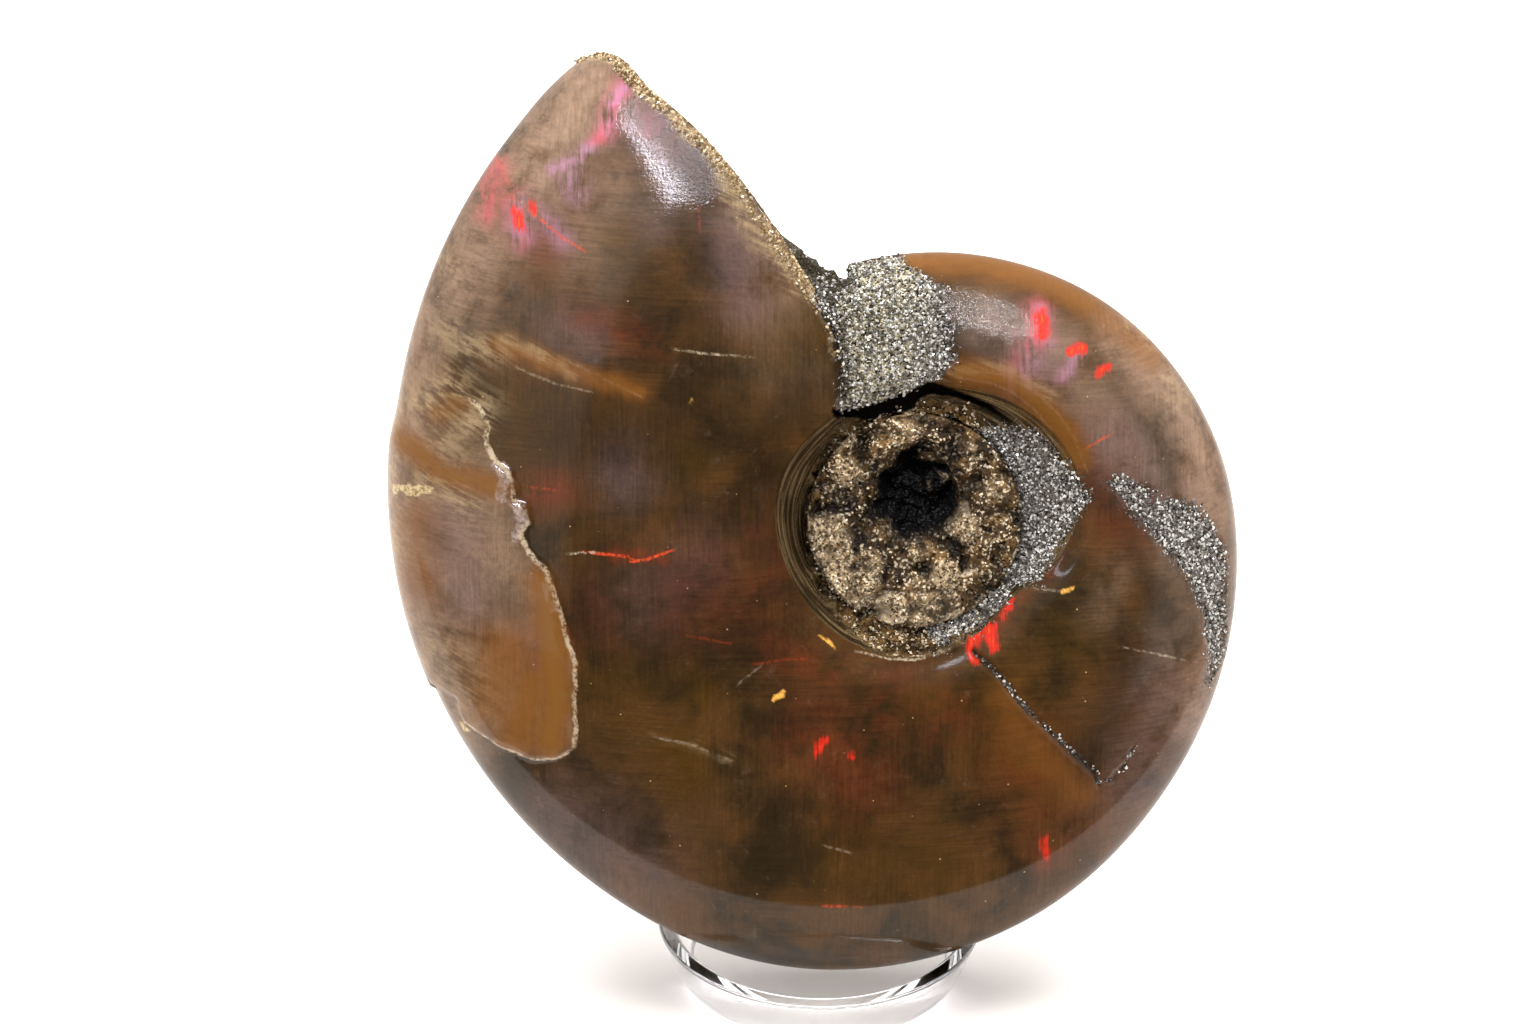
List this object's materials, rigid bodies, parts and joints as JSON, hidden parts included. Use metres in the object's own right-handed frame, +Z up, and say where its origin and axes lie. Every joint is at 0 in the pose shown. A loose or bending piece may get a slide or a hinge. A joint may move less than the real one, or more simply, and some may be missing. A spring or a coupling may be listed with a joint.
{
  "type": "opalescent ammonite fossil",
  "caption": "Polished brown ammonite with iridescent shell and a crystal-lined umbilicus, leaning back in a low clear ring stand.",
  "frame": {"origin": "middle of the object's footprint box, on the surface that the ring stands on", "axes": "+Z up; +X to the right of a viewer who faces the flank; +Y away from that viewer"},
  "size_m": [0.0996, 0.0562, 0.1073],
  "materials": {
    "polished_shell": "polished shell and rock, brown with iridescent flashes",
    "crystal_crust": "brown calcite crystals, sparkling",
    "clear_acrylic": "clear, polished edges"
  },
  "bodies": {
    "root": {"ammonite": "polished_shell", "umbilicus_crystals": "crystal_crust", "display_ring": "clear_acrylic"}
  },
  "joints": []
}
